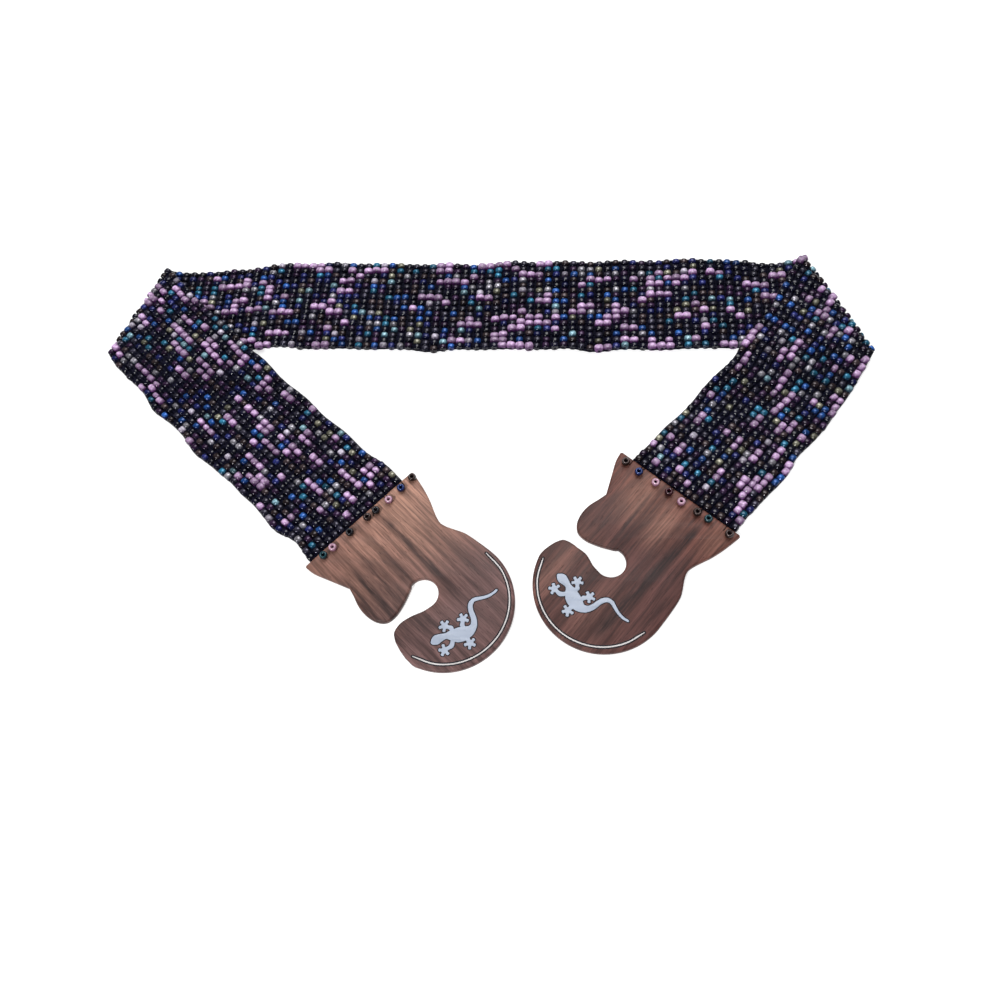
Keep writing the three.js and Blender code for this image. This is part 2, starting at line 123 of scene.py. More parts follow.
def remap(tree, source, low, high, newLow=0.0, newHigh=1.0):
    node = addNode(tree, "ShaderNodeMapRange", interpolation_type="SMOOTHSTEP")
    for socket, value in zip(node.inputs, (source, low, high, newLow, newHigh)):
        feed(tree, socket, value)
    return node.outputs[0]


def stretchedNoise(tree, place, stretch, detail=2.0, roughness=0.5):
    scaled = addNode(tree, "ShaderNodeVectorMath", operation="MULTIPLY")
    feed(tree, scaled.inputs[0], place)
    feed(tree, scaled.inputs[1], stretch)
    noise = addNode(tree, "ShaderNodeTexNoise")
    feed(tree, noise.inputs["Vector"], scaled.outputs[0])
    noise.inputs["Scale"].default_value = 1.0
    noise.inputs["Detail"].default_value = detail
    noise.inputs["Roughness"].default_value = roughness
    return noise.outputs["Fac"]


def addGroup(name, inputs, outputs):
    group = bpy.data.node_groups.new(name, "ShaderNodeTree")
    for label, kind, value in inputs:
        socket = group.interface.new_socket(name=label, in_out="INPUT", socket_type=kind)
        socket.default_value = value
    for label, kind in outputs:
        group.interface.new_socket(name=label, in_out="OUTPUT", socket_type=kind)
    taken = addNode(group, "NodeGroupInput").outputs
    given = addNode(group, "NodeGroupOutput").inputs
    return group, taken, given


def useGroup(tree, group, **values):
    node = addNode(tree, "ShaderNodeGroup", node_tree=group)
    for label, value in values.items():
        feed(tree, node.inputs[label], value)
    return node.outputs


def newMaterial(name, **values):
    material = bpy.data.materials.new(name)
    material.use_nodes = True
    shader = material.node_tree.nodes["Principled BSDF"]
    for label, value in values.items():
        feed(material.node_tree, shader.inputs[label.replace("_", " ")], value)
    return material, material.node_tree, shader


# effects that several finishes share
def buildGlassMottle():
    # cloudy change of tone and gloss inside a bead's glass
    group, taken, given = addGroup(
        "glassMottle",
        [
            ("Colour", "NodeSocketColor", (0.5, 0.5, 0.5, 1)),
            ("Amount", "NodeSocketFloat", 0.3),
            ("Gloss", "NodeSocketFloat", 0.15),
        ],
        [("Colour", "NodeSocketColor"), ("Roughness", "NodeSocketFloat")],
    )
    place = addNode(group, "ShaderNodeTexCoord").outputs["Object"]
    cloud = stretchedNoise(group, place, (900.0, 900.0, 900.0), 2.0)
    dark = doMath(group, "SUBTRACT", 1.0, taken["Amount"])
    bright = doMath(group, "ADD", 1.0, taken["Amount"])
    tone = remap(group, cloud, 0.3, 0.7, dark, bright)
    group.links.new(mixColours(group, 1.0, taken["Colour"], tone, "MULTIPLY"), given["Colour"])
    smear = stretchedNoise(group, place, (260.0, 260.0, 260.0), 3.0)
    gloss = doMath(group, "MULTIPLY", taken["Gloss"], remap(group, smear, 0.3, 0.7, 0.7, 1.5))
    group.links.new(gloss, given["Roughness"])
    return group


def buildStreak():
    # one dark or pale streak along the grain; place is in the plate's own frame
    group, taken, given = addGroup(
        "grainStreak",
        [
            ("Place", "NodeSocketVector", (0, 0, 0)),
            ("Across", "NodeSocketFloat", 0.0),
            ("Lean", "NodeSocketFloat", 0.0),
            ("Width", "NodeSocketFloat", 0.002),
            ("Start", "NodeSocketFloat", 0.0),
            ("End", "NodeSocketFloat", 0.05),
        ],
        [("Mask", "NodeSocketFloat")],
    )
    parts = addNode(group, "ShaderNodeSeparateXYZ")
    group.links.new(taken["Place"], parts.inputs[0])
    wander = stretchedNoise(group, taken["Place"], (30.0, 20.0, 0.0), 3.0)
    wander = doMath(group, "MULTIPLY", doMath(group, "SUBTRACT", wander, 0.5), 0.003)
    middle = doMath(group, "MULTIPLY_ADD", parts.outputs[0], taken["Lean"], taken["Across"])
    away = doMath(group, "SUBTRACT", doMath(group, "ADD", parts.outputs[1], wander), middle)
    away = doMath(group, "ABSOLUTE", away)
    side = remap(group, away, doMath(group, "MULTIPLY", taken["Width"], 0.2), taken["Width"], 1.0, 0.0)
    fadeIn = doMath(group, "ADD", taken["Start"], 0.012)
    fadeOut = doMath(group, "SUBTRACT", taken["End"], 0.012)
    length = doMath(
        group, "MULTIPLY", remap(group, parts.outputs[0], taken["Start"], fadeIn),
        remap(group, parts.outputs[0], fadeOut, taken["End"], 1.0, 0.0))
    fibres = stretchedNoise(group, taken["Place"], (90.0, 700.0, 0.0), 3.0)
    broken = remap(group, fibres, 0.25, 0.6, 0.35, 1.0)
    mask = doMath(group, "MULTIPLY", doMath(group, "MULTIPLY", side, length), broken)
    group.links.new(mask, given["Mask"])
    return group


def buildGrain():
    # bands, fibres and open pores of the wood
    group, taken, given = addGroup(
        "woodGrain",
        [("Place", "NodeSocketVector", (0, 0, 0)), ("Shift", "NodeSocketVector", (0, 0, 0))],
        [
            ("Bands", "NodeSocketFloat"),
            ("Veins", "NodeSocketFloat"),
            ("Fibres", "NodeSocketFloat"),
            ("Pores", "NodeSocketFloat"),
            ("Height", "NodeSocketFloat"),
        ],
    )
    bend = stretchedNoise(group, taken["Place"], (28.0, 40.0, 40.0), 2.0)
    bend = doMath(group, "MULTIPLY", doMath(group, "SUBTRACT", bend, 0.5), 0.0025)
    sway = addNode(group, "ShaderNodeCombineXYZ")
    group.links.new(bend, sway.inputs[1])
    moved = addNode(group, "ShaderNodeVectorMath", operation="ADD")
    group.links.new(taken["Place"], moved.inputs[0])
    group.links.new(sway.outputs[0], moved.inputs[1])
    placed = addNode(group, "ShaderNodeVectorMath", operation="ADD")
    group.links.new(moved.outputs[0], placed.inputs[0])
    group.links.new(taken["Shift"], placed.inputs[1])
    place = placed.outputs[0]
    bands = stretchedNoise(group, place, (9.0, 210.0, 40.0), 4.0, 0.55)
    veins = remap(group, stretchedNoise(group, place, (13.0, 560.0, 60.0), 3.0), 0.53, 0.66)
    fibres = stretchedNoise(group, place, (90.0, 1500.0, 400.0), 3.0, 0.6)
    pores = remap(group, stretchedNoise(group, place, (260.0, 2600.0, 500.0), 1.0), 0.66, 0.74)
    group.links.new(bands, given["Bands"])
    group.links.new(veins, given["Veins"])
    group.links.new(fibres, given["Fibres"])
    group.links.new(pores, given["Pores"])
    height = doMath(group, "SUBTRACT", doMath(group, "MULTIPLY", fibres, 0.5), pores)
    group.links.new(height, given["Height"])
    return group


def buildFineRub():
    # faint rubbing marks on polished pieces
    group, taken, given = addGroup(
        "fineRub",
        [("Scale", "NodeSocketFloat", 300.0), ("Gloss", "NodeSocketFloat", 0.3)],
        [("Cloud", "NodeSocketFloat"), ("Roughness", "NodeSocketFloat"), ("Height", "NodeSocketFloat")],
    )
    place = addNode(group, "ShaderNodeTexCoord").outputs["Object"]
    noise = addNode(group, "ShaderNodeTexNoise")
    group.links.new(place, noise.inputs["Vector"])
    group.links.new(taken["Scale"], noise.inputs["Scale"])
    noise.inputs["Detail"].default_value = 4.0
    group.links.new(noise.outputs["Fac"], given["Cloud"])
    rub = remap(group, noise.outputs["Fac"], 0.3, 0.7, 0.75, 1.35)
    group.links.new(doMath(group, "MULTIPLY", taken["Gloss"], rub), given["Roughness"])
    fine = stretchedNoise(group, place, (2500.0, 2500.0, 2500.0), 2.0)
    group.links.new(fine, given["Height"])
    return group


glassMottle = buildGlassMottle()
grainStreak = buildStreak()
woodGrain = buildGrain()
fineRub = buildFineRub()
print("shared effects built")


# the band's course, the same as that of its solid; lengths in mm, angles in degrees
bandCourse = {
    "width": 51.6,
    "thickness": 3.6,
    "layerGap": 0.6,
    "leftArm": 173.6,
    "middle": 334.885,
    "rightArm": 128.1,
    "leftFold": 70.0,
    "rightFold": 115.3,
    "settleRun": 30.0,
    "edgeWaveDepth": 0.5,
    "edgeWaveLength": 29.0,
    "edgeWaveShift": 2.0,
    "middleCentre": (-1.592, 76.105),
    "leftEndTurn": -2.9,
    "rightEndTurn": 1.1,
    "endTurnReach": 60.0,
    # stretch, share along it, sideways drift and width in shares of the width
    "rows": (
        ("leftArm", 0, -0.115, 1.02),
        ("leftArm", 0.5, -0.13, 1.03),
        ("leftArm", 0.85, -0.1, 1.01),
        ("middle", 0, -0.03, 0.96),
        ("middle", 0.06, -0.04, 0.94),
        ("middle", 0.24, 0.03, 0.99),
        ("middle", 0.42, 0, 1),
        ("middle", 0.66, 0.01, 0.99),
        ("middle", 0.82, 0.022, 0.985),
        ("middle", 0.92, -0.01, 0.94),
        ("middle", 1, 0, 0.99),
        ("rightArm", 0.25, -0.11, 0.99),
        ("rightArm", 0.5, -0.16, 1.01),
        ("rightArm", 1, -0.12, 1.04),
    ),
}

stretchStart = {
    "leftArm": 0.0,
    "middle": bandCourse["leftArm"],
    "rightArm": bandCourse["leftArm"] + bandCourse["middle"],
}
bandLength = stretchStart["rightArm"] + bandCourse["rightArm"]
foldRadius = (bandCourse["thickness"] + bandCourse["layerGap"]) / 2
foldArc = math.pi * foldRadius
courseRows = np.array([
    (stretchStart[stretch] + share * bandCourse[stretch], sideways, width)
    for stretch, share, sideways, width in bandCourse["rows"]
])


def easeShare(value, start, end):
    share = np.clip((value - start) / (end - start), 0, 1)
    return share * share * (3 - 2 * share)


def courseValue(at, column):
    i = np.clip(np.searchsorted(courseRows[:, 0], at) - 1, 0, len(courseRows) - 2)
    low, high = courseRows[i], courseRows[i + 1]
    return low[..., column] + (high - low)[..., column] * easeShare(at, low[..., 0], high[..., 0])


def layBand(at, share):
    # places on the band as it lies, and the way up there
    # at is the length along the band, share runs from -1 to 1 across it
    course = bandCourse
    at, share = np.broadcast_arrays(np.asarray(at, float), np.asarray(share, float))
    shift = np.where(share > 0, 0.0, course["edgeWaveShift"])
    wave = course["edgeWaveDepth"] * np.sin(2 * math.pi * at / course["edgeWaveLength"] + shift)
    halfWidth = course["width"] * courseValue(at, 2) / 2
    x = at - course["leftArm"] - course["middle"] / 2
    y = course["width"] * courseValue(at, 1) + share * (halfWidth + wave * share**2)
    place = np.stack([x, y, np.zeros_like(x)], -1)
    up = np.zeros_like(place)
    up[..., 2] = 1
    for centre, angle, outward in (
        (-course["middle"] / 2, course["leftFold"], -1), (course["middle"] / 2, course["rightFold"], 1)):
        normal = outward * np.array((math.sin(math.radians(angle)), -math.cos(math.radians(angle))))
        beyond = (x - centre) * normal[0] + y * normal[1]
        roll = np.clip(beyond / foldRadius, 0, math.pi)
        reach = foldRadius * np.sin(roll) - np.maximum(beyond - foldArc, 0) - np.maximum(beyond, 0)
        place[..., 0] += np.where(beyond > 0, normal[0] * reach, 0)
        place[..., 1] += np.where(beyond > 0, normal[1] * reach, 0)
        frontEdge = -course["width"] / 2
        armLift = 2 * foldRadius * easeShare(place[..., 1], frontEdge - course["settleRun"], frontEdge)
        rolled = foldRadius * (1 - np.cos(roll))
        place[..., 2] += np.where(beyond > foldArc, armLift, rolled)
        up[..., 0] += -np.sin(roll) * normal[0]
        up[..., 1] += -np.sin(roll) * normal[1]
        up[..., 2] += np.cos(roll) - 1
    place[..., 0] += course["middleCentre"][0]
    place[..., 1] += course["middleCentre"][1]
    place[..., 2] += course["thickness"] / 2
    return place, up


def unit(vectors):
    return vectors / np.linalg.norm(vectors, axis=-1, keepdims=True)


def meshFromArrays(name, points, quads, material):
    # points in mm
    mesh = bpy.data.meshes.new(name)
    mesh.vertices.add(len(points))
    mesh.vertices.foreach_set("co", (points * mm).astype(np.float32).ravel())
    mesh.loops.add(quads.size)
    mesh.loops.foreach_set("vertex_index", quads.astype(np.int32).ravel())
    mesh.polygons.add(len(quads))
    mesh.polygons.foreach_set("loop_start", np.arange(0, quads.size, 4, dtype=np.int32))
    mesh.update(calc_edges=True)
    mesh.shade_smooth()
    mesh.materials.append(material)
    piece = bpy.data.objects.new(name, mesh)
    scene.collection.objects.link(piece)
    return piece


# rows of beads across the band and their pitch along it, mm
beadRows = {
    "across": 16,
    "endGap": 1.9,
    # length along the band, pitch there
    "pitch": (
        (0, 3.4), (40, 3.9), (100, 4.15), (173, 4.5),
        (205, 4.2), (505, 4.15), (530, 3.9), (637, 3.38),
    ),
    "drift": 0.35,  # sideways wander of whole cross rows
    "scallop": 0.75,  # extra waviness of the front edge
    "wanderAlong": 0.035,  # in cross rows
    "wanderAcross": 0.15,
    "seed": 47,
}

beadShape = {
    # place along the hole and radius, mm
    "profile": ((-1.44, 0.5), (-1.5, 0.98), (-1.39, 1.38), (-1.04, 1.65), (-0.42, 1.78),
                (0.42, 1.78), (1.04, 1.65), (1.39, 1.38), (1.5, 0.98), (1.44, 0.5)),
    "radius": 1.78,
    "sides": 14,
    "squareness": 2.7,  # 2 is round
    "sizeSpread": 0.05,
    "tilt": 0.08,
    "pinkGrowth": (1.06, 1.3, 1.1),  # along the hole, along the band, upwards
    "pinkSpread": 0.07,
    "tallest": 1.16,
    "crowding": 1.06,  # longest bead over its cross row's pitch
}

# tone of the glass from bead to bead, and painted light and shade within one bead
beadTone = {
    "spread": 0.35,
    "range": (0.45, 1.6),
    "pinkRange": (0.6, 1.25),
    "backShare": 0.75,  # how much the back counts with the top
    "liftRange": (-0.15, 1.25),  # dark below the first, pale above the second, in bead radii
    "endShade": 0.75,
}

# pink beads come in short runs along the band, close to one another
pinkRuns = {
    "likely": 0.085,
    "clustering": 0.55,
    "clusterStep": 7,  # cross rows
    "lengthShares": (0.4, 0.33, 0.17, 0.1),  # runs of 1, 2, 3 and 4 beads
}

# glass of the seed beads: how common, colour on top, colour at the sides, metal share; the top colour is
# the glass with painted light, the side colour the glass with painted shade
beadGlass = {
    "black": (0.23, (0.009, 0.008, 0.020), (0.0015, 0.0015, 0.007), 0.0),
    "gunmetal": (0.16, (0.046, 0.042, 0.062), (0.003, 0.003, 0.012), 0.4),
    "plum": (0.14, (0.044, 0.020, 0.055), (0.006, 0.003, 0.014), 0.3),
    "brown": (0.12, (0.058, 0.040, 0.042), (0.007, 0.004, 0.009), 0.3),
    "navy": (0.10, (0.022, 0.027, 0.14), (0.003, 0.004, 0.03), 0.2),
    "royal": (0.065, (0.026, 0.11, 0.38), (0.003, 0.009, 0.07), 0.2),
    "teal": (0.055, (0.030, 0.18, 0.30), (0.004, 0.017, 0.045), 0.2),
    "aqua": (0.02, (0.22, 0.38, 0.44), (0.02, 0.05, 0.08), 0.2),
    "silver": (0.05, (0.36, 0.34, 0.38), (0.05, 0.05, 0.07), 0.3),
    "olive": (0.035, (0.26, 0.25, 0.19), (0.03, 0.028, 0.02), 0.3),
    "pearl": (0.02, (0.46, 0.42, 0.50), (0.07, 0.05, 0.09), 0.0),
    "pink": (0.0, (0.62, 0.42, 0.66), (0.075, 0.018, 0.095), 0.0),  # laid in runs of its own
}


def columnPlaces():
    places = [beadRows["endGap"]]
    knots = np.array(beadRows["pitch"])
    while places[-1] < bandLength - beadRows["endGap"]:
        places.append(places[-1] + np.interp(places[-1], knots[:, 0], knots[:, 1]))
    places = np.array(places) - places[0]
    return beadRows["endGap"] + places * (bandLength - 2 * beadRows["endGap"]) / places[-1]


def endSkew(at):
    # cross rows run parallel to the plates' straight edges near the ends
    leftTurn = math.tan(math.radians(bandCourse["leftEndTurn"]))
    rightTurn = math.tan(math.radians(bandCourse["rightEndTurn"]))
    reach = bandCourse["endTurnReach"]
    left = leftTurn * (1 - easeShare(at, 0, reach))
    right = rightTurn * easeShare(at, bandLength - reach, bandLength)
    return (left + right) * bandCourse["width"] / 2


def softNoise(count, step, random):
    # smooth random numbers around zero, one knot each step places
    knots = random.normal(0, 1, count // step + 3)
    places = np.arange(count) / step
    i = places.astype(int)
    share = places - i
    share = share * share * (3 - 2 * share)
    return knots[i] * (1 - share) + knots[i + 1] * share


def chooseGlass(columns, rows, random):
    names = list(beadGlass)
    shares = np.array([beadGlass[name][0] for name in names])
    chosen = random.choice(len(names), (columns, rows), p=shares / shares.sum())
    cluster = np.stack([softNoise(columns, pinkRuns["clusterStep"], random) for _ in range(rows)], 1)
    cluster = (cluster + np.roll(cluster, 1, 1) + 0.5 * np.roll(cluster, 2, 1)) / 1.5
    pink = names.index("pink")
    for row in range(rows):
        column = 0
        while column < columns:
            likely = pinkRuns["likely"] * math.exp(pinkRuns["clustering"] * cluster[column, row])
            if random.random() < likely:
                run = random.choice((1, 2, 3, 4), p=pinkRuns["lengthShares"])
                chosen[column:column + run, row] = pink
                column += run
            column += 1
    chosen[0] = random.choice(4, rows)  # the rows next to the plates are dark
    chosen[-1] = random.choice(4, rows)
    return chosen, names


def makeBeadMaterial():
    material, tree, shader = newMaterial("seedBeadGlass", IOR=1.52, Specular_IOR_Level=0.45)
    # the attribute holds the glass colour with painted light and shade, and the metal share in its alpha
    colour = addNode(tree, "ShaderNodeAttribute", attribute_name="beadColourAndShade")
    mottle = useGroup(tree, glassMottle, Colour=colour.outputs["Color"], Amount=0.35, Gloss=0.13)
    tree.links.new(mottle["Colour"], shader.inputs["Base Color"])
    tree.links.new(mottle["Roughness"], shader.inputs["Roughness"])
    tree.links.new(colour.outputs["Alpha"], shader.inputs["Metallic"])
    return material


def makeThreadMaterial():
    material, tree, shader = newMaterial("elasticThread", Roughness=0.7, Specular_IOR_Level=0.1)
    place = addNode(tree, "ShaderNodeTexCoord").outputs["Object"]
    strand = stretchedNoise(tree, place, (1400.0, 1400.0, 1400.0), 2.0)
    colour = rampColours(tree, strand, ((0.3, (0.001, 0.001, 0.006)), (0.7, (0.003, 0.003, 0.013))))
    tree.links.new(colour, shader.inputs["Base Color"])
    bump = addNode(tree, "ShaderNodeBump")
    bump.inputs["Distance"].default_value = 0.0001
    tree.links.new(strand, bump.inputs["Height"])
    tree.links.new(bump.outputs[0], shader.inputs["Normal"])
    return material


def layBeads(name, centres, holes, ups, sizes, tops, sides, metals, material):
    # one mesh of many beads: a lathed barrel copied to every place
    profile = np.array(beadShape["profile"])
    turn = np.arange(beadShape["sides"]) * 2 * math.pi / beadShape["sides"]
    power = beadShape["squareness"]
    fullness = (np.abs(np.cos(turn))**power + np.abs(np.sin(turn))**power) ** (-1 / power)
    base = np.stack([
        np.repeat(profile[:, 0], len(turn)),
        np.outer(profile[:, 1], fullness * np.cos(turn)).ravel(),
        np.outer(profile[:, 1], fullness * np.sin(turn)).ravel(),
    ], 1)
    holes = unit(holes)
    ups = unit(ups - holes * np.sum(ups * holes, 1, keepdims=True))
    frames = np.stack([holes, np.cross(ups, holes), ups], 2) * sizes[:, None, :]
    offsets = np.einsum("nij,vj->nvi", frames, base)
    points = (centres[:, None] + offsets).reshape(-1, 3)
    ring = np.arange(len(turn))
    quads = []
    for i in range(len(profile) - 1):
        first, second = i * len(turn), (i + 1) * len(turn)
        follow = np.roll(ring, -1)
        quads.append(np.stack([first + ring, first + follow, second + follow, second + ring], 1))
    quads = np.concatenate(quads)
    quads = (quads[None] + (np.arange(len(centres)) * len(base))[:, None, None]).reshape(-1, 4)
    piece = meshFromArrays(name, points, quads, material)
    # painted light and shade: paler towards the top and back of a bead, darker below
    lift = offsets[..., 2] + beadTone["backShare"] * offsets[..., 1]
    share = easeShare(lift / beadShape["radius"], *beadTone["liftRange"])[..., None]
    # and painted shade: darker towards its two ends, where it meets its neighbours
    towardsEnd = np.abs(base[:, 0]) / profile[:, 0].max()
    share = share * (1 - beadTone["endShade"] * towardsEnd ** 2)[None, :, None]
    colours = sides[:, None] * (1 - share) + tops[:, None] * share
    metalShare = np.broadcast_to(metals[:, None, None], colours.shape[:2] + (1,))
    colours = np.concatenate([colours, metalShare], 2)
    attribute = piece.data.color_attributes.new("beadColourAndShade", "FLOAT_COLOR", "POINT")
    attribute.data.foreach_set("color", colours.astype(np.float32).ravel())
    return piece


def layTubes(name, paths, radius, sides, material):
    # threads as tubes along rows of points, mm
    points, quads, offset = [], [], 0
    turn = np.arange(sides) * 2 * math.pi / sides
    for path, up in paths:
        along = unit(np.gradient(path, axis=0))
        side = unit(np.cross(along, up))
        above = np.cross(side, along)
        ring = side[:, None] * np.cos(turn)[:, None] + above[:, None] * np.sin(turn)[:, None]
        points.append((path[:, None] + ring * radius).reshape(-1, 3))
        first = (np.arange(len(path) - 1) * sides)[:, None] + np.arange(sides)
        second = (np.arange(len(path) - 1) * sides)[:, None] + np.roll(np.arange(sides), -1)
        quads.append(np.stack([first, first + sides, second + sides, second], 2).reshape(-1, 4) + offset)
        offset += len(path) * sides
    return meshFromArrays(name, np.concatenate(points), np.concatenate(quads), material)


def buildBeadwork():
    random = np.random.default_rng(beadRows["seed"])
    rows = beadRows["across"]
    columns = columnPlaces()
    count = len(columns)
    shares = (np.arange(rows) + 0.5) / rows * 2 - 1
    halfWidth = bandCourse["width"] / 2
    drift = beadRows["drift"] * softNoise(count, 3, random) / halfWidth
    scallop = beadRows["scallop"] * softNoise(count, 3, random) / halfWidth

    def place(column, share):
        # place and way up at cross row numbers and shares across
        # -1 and the count are the band's ends
        at = np.interp(column, np.arange(count), columns)
        at = at + beadRows["endGap"] * (np.minimum(column, 0) + np.maximum(column - count + 1, 0))
        moved = share + np.interp(column, np.arange(count), drift)
        moved = moved + np.interp(column, np.arange(count), scallop) * np.clip(-share, 0, 1) ** 3
        return layBand(at + share * endSkew(at), moved)

    column, share = np.meshgrid(np.arange(count, dtype=float), shares, indexing="ij")
    wander = random.normal(0, beadRows["wanderAlong"], column.shape)
    slip = random.normal(0, beadRows["wanderAcross"] / halfWidth, share.shape)
    centres, ups = place(column + wander, share + slip)
    ahead = place(column, share + 0.02)[0]
    behind = place(column, share - 0.02)[0]
    holes = unit(ahead - behind)
    holes = holes + random.normal(0, beadShape["tilt"], holes.shape)
    ups = ups + random.normal(0, beadShape["tilt"], ups.shape)
    chosen, names = chooseGlass(count, rows, random)
    tops = np.array([beadGlass[name][1] for name in names])[chosen]
    sides = np.array([beadGlass[name][2] for name in names])[chosen]
    metals = np.array([beadGlass[name][3] for name in names])[chosen]
    tone = np.clip(random.lognormal(0, beadTone["spread"], chosen.shape), *beadTone["range"])[..., None]
    isPink = (chosen == names.index("pink"))[..., None]
    tone = np.where(isPink, np.clip(tone, *beadTone["pinkRange"]), tone)
    sizes = 1 + random.normal(0, beadShape["sizeSpread"], chosen.shape + (3,))
    growth = 1 + random.normal(0, beadShape["pinkSpread"], chosen.shape + (1,))
    sizes = sizes * np.where(isPink, growth * beadShape["pinkGrowth"], 1.0)
    sizes[..., 2] = np.minimum(sizes[..., 2], beadShape["tallest"])
    # a bead is no longer along the band than its cross row has room for
    room = np.gradient(columns)[:, None] * beadShape["crowding"] / (2 * beadShape["radius"])
    sizes[..., 1] = np.minimum(sizes[..., 1], room)
    # and a larger one stands up more instead of reaching lower
    centres[..., 2:] += np.abs(ups[..., 2:]) * np.maximum(sizes[..., 2:] - 1, 0) * beadShape["radius"]
    material = makeBeadMaterial()
    middle = stretchStart["middle"]
    borders = (middle, middle + bandCourse["middle"] / 2, stretchStart["rightArm"])
    cuts = [0, *np.searchsorted(columns, borders), count]
    pieceNames = ("beads_left_arm", "beads_middle_left", "beads_middle_right", "beads_right_arm")
    for name, first, last in zip(pieceNames, cuts[:-1], cuts[1:]):
        triples = [values[first:last].reshape(-1, 3)
                   for values in (centres, holes, ups, sizes, tops * tone, sides * tone)]
        piece = layBeads(name, *triples, metals[first:last].ravel(), material)
        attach(piece, "root")
        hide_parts("beaded_band")
    print("seed beads laid:", count, "cross rows of", rows)
    return place, count


beadworkPlace, crossRows = buildBeadwork()

# elastic threads along the band, a dark core under each row of beads, and the thread through each cross
# row, mm; the core is partly the elastic and partly painted shade that fills the gaps between beads
threads = {
    "warpRadius": 0.46,
    "warpHeight": -0.1,
    "fillRadius": 0.86,
    "fillHeight": -0.35,
    "fillSide": 0.72,
    "weftRadius": 0.17,
    "weftHeight": 0.4,
    "edgeReach": 0.992,
    "outerWarpShare": 0.98,  # of the way to the band's edge
    "wander": 0.02,
    "seed": 12,
}


def buildThreads():
    random = np.random.default_rng(threads["seed"])
    rows = beadRows["across"]
    halfWidth = bandCourse["width"] / 2
    material = makeThreadMaterial()
    steps = np.arange(-1.0, crossRows + 0.05, 0.5)

    def strand(share, height):
        # a length of thread that wanders a little up, down and sideways
        slip = softNoise(len(steps), 4, random) * threads["wander"] / halfWidth
        path, up = beadworkPlace(steps, share + slip)
        return path + up * (height + softNoise(len(steps), 3, random) * threads["wander"])[:, None], up

    between = np.linspace(-1, 1, rows + 1)
    between[[0, -1]] *= threads["outerWarpShare"]
    warps = [strand(share, threads["warpHeight"]) for share in between]
    # dark core tubes: partly the elastic, partly painted shade that keeps the floor from showing through
    # the gaps
    fills = []
    for row in range(rows):
        middle = (row + 0.5) / rows * 2 - 1
        for side in (-1, 1):
            share = middle + side * threads["fillSide"] / halfWidth
            fills.append(strand(share, threads["fillHeight"]))
    wefts = []
    for level in (-1, 1):
        path, up = [], []
        for column in range(crossRows):
            sweep = np.linspace(-1, 1, 2 * rows + 1) * (1 if column % 2 == 0 else -1)
            spots, ups = beadworkPlace(np.full(len(sweep), float(column)), sweep * threads["edgeReach"])
            # inside the beads near the hole's middle, over or under the threads between them
            gap = np.where(np.arange(len(sweep)) % 2 == 0, 1.0, 0.25)
            path.append(spots + ups * (gap * level * threads["weftHeight"])[:, None])
            up.append(ups)
        wefts.append((np.concatenate(path), np.concatenate(up)))
    made = [
        layTubes("warp_threads", warps, threads["warpRadius"], 5, material),
        layTubes("elastic_and_shade_core", fills, threads["fillRadius"], 4, material),
        layTubes("weft_threads", wefts, threads["weftRadius"], 4, material),
    ]
    for piece in made:
        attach(piece, "root")
    print("threads laid")
    return material


threadMaterial = buildThreads()


# outlines of the flat faces of a solid
def outlineLoops(node, height):
    # closed loops of points, longest first, mm
    bm = bmesh.new()
    bm.from_mesh(frame["nodes"][node].data)
    bmesh.ops.remove_doubles(bm, verts=bm.verts, dist=0.00001)
    bm.normal_update()
    flat = {face for face in bm.faces
            if abs(face.normal.z) > 0.99 and abs(face.calc_center_median().z / mm - height) < 0.05}
    rims = {edge for edge in bm.edges if sum(face in flat for face in edge.link_faces) == 1}
    loops = []
    while rims:
        edge = rims.pop()
        start, spot = edge.verts
        loop = [start, spot]
        while spot is not start:
            edge = next(other for other in spot.link_edges if other in rims)
            rims.discard(edge)
            spot = edge.other_vert(spot)
            loop.append(spot)
        loops.append([Vector((vert.co.x / mm, vert.co.y / mm)) for vert in loop[:-1]])
    bm.free()
    return sorted(loops, key=len, reverse=True)


def smoothLoop(loop, steps, cornerDegrees=34):
    # rounds a faceted outline and keeps its corners
    count = len(loop)
    tangents = []
    for i in range(count):
        before = (loop[i] - loop[i - 1]).normalized()
        after = (loop[(i + 1) % count] - loop[i]).normalized()
        sharp = before.angle(after) > math.radians(cornerDegrees)
        even = (before + after).normalized()
        tangents.append((after, before) if sharp else (even, even))
    points = []
    for i in range(count):
        first, second = loop[i], loop[(i + 1) % count]
        length = (second - first).length
        leaving, arriving = tangents[i][0] * length, tangents[(i + 1) % count][1] * length
        for k in range(steps):
            t = k / steps
            points.append(
                first * (2 * t**3 - 3 * t**2 + 1) + leaving * (t**3 - 2 * t**2 + t)
                + second * (3 * t**2 - 2 * t**3) + arriving * (t**3 - t**2))
    return points


